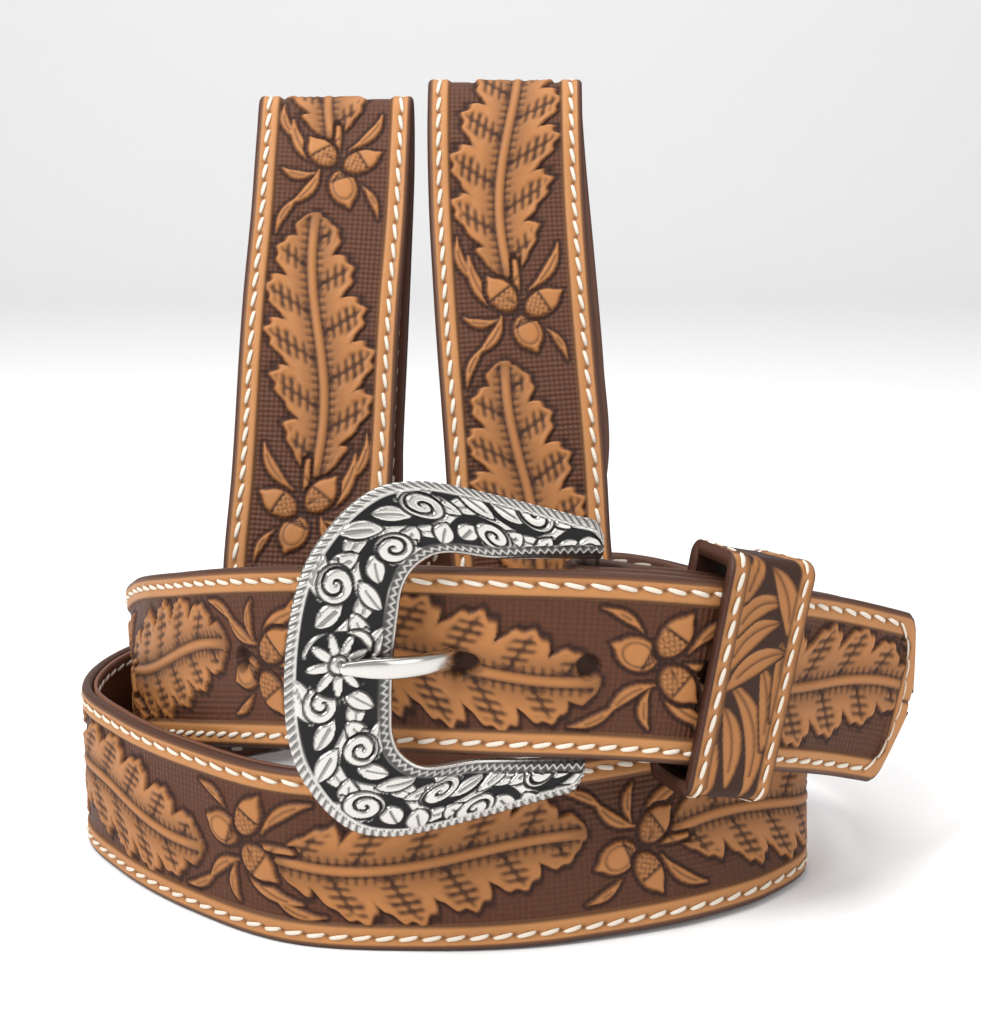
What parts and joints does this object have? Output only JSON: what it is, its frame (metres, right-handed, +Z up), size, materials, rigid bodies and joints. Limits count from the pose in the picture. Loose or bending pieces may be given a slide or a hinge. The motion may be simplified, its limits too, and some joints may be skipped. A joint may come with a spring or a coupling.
{
  "type": "western tooled leather belt, rolled up",
  "caption": "Rolled leather belt with raised oak leaf and acorn tooling, stitched edges, fastened western buckle and keeper, standing on its edge.",
  "frame": {"origin": "middle of the footprint, on the surface that the rolled belt stands on", "axes": "+Z up, +X to the right of someone facing the buckle, -Y towards that person"},
  "size_m": [0.1888, 0.1626, 0.1751],
  "materials": {
    "tooled_leather": "tan tooled leather with dark antiquing in the cuts",
    "lining_leather": "smooth reddish brown lining",
    "antique_silver": "antiqued silver with blackened recesses",
    "polished_silver": "polished silver",
    "plain_metal": "plain nickel",
    "thread": "white waxed thread"
  },
  "bodies": {
    "root": {"strap": "tooled_leather", "lining": "lining_leather", "buckle": "antique_silver", "tongue": "polished_silver", "keeper": "tooled_leather", "snap_upper": "plain_metal", "snap_lower": "plain_metal"}
  },
  "joints": []
}
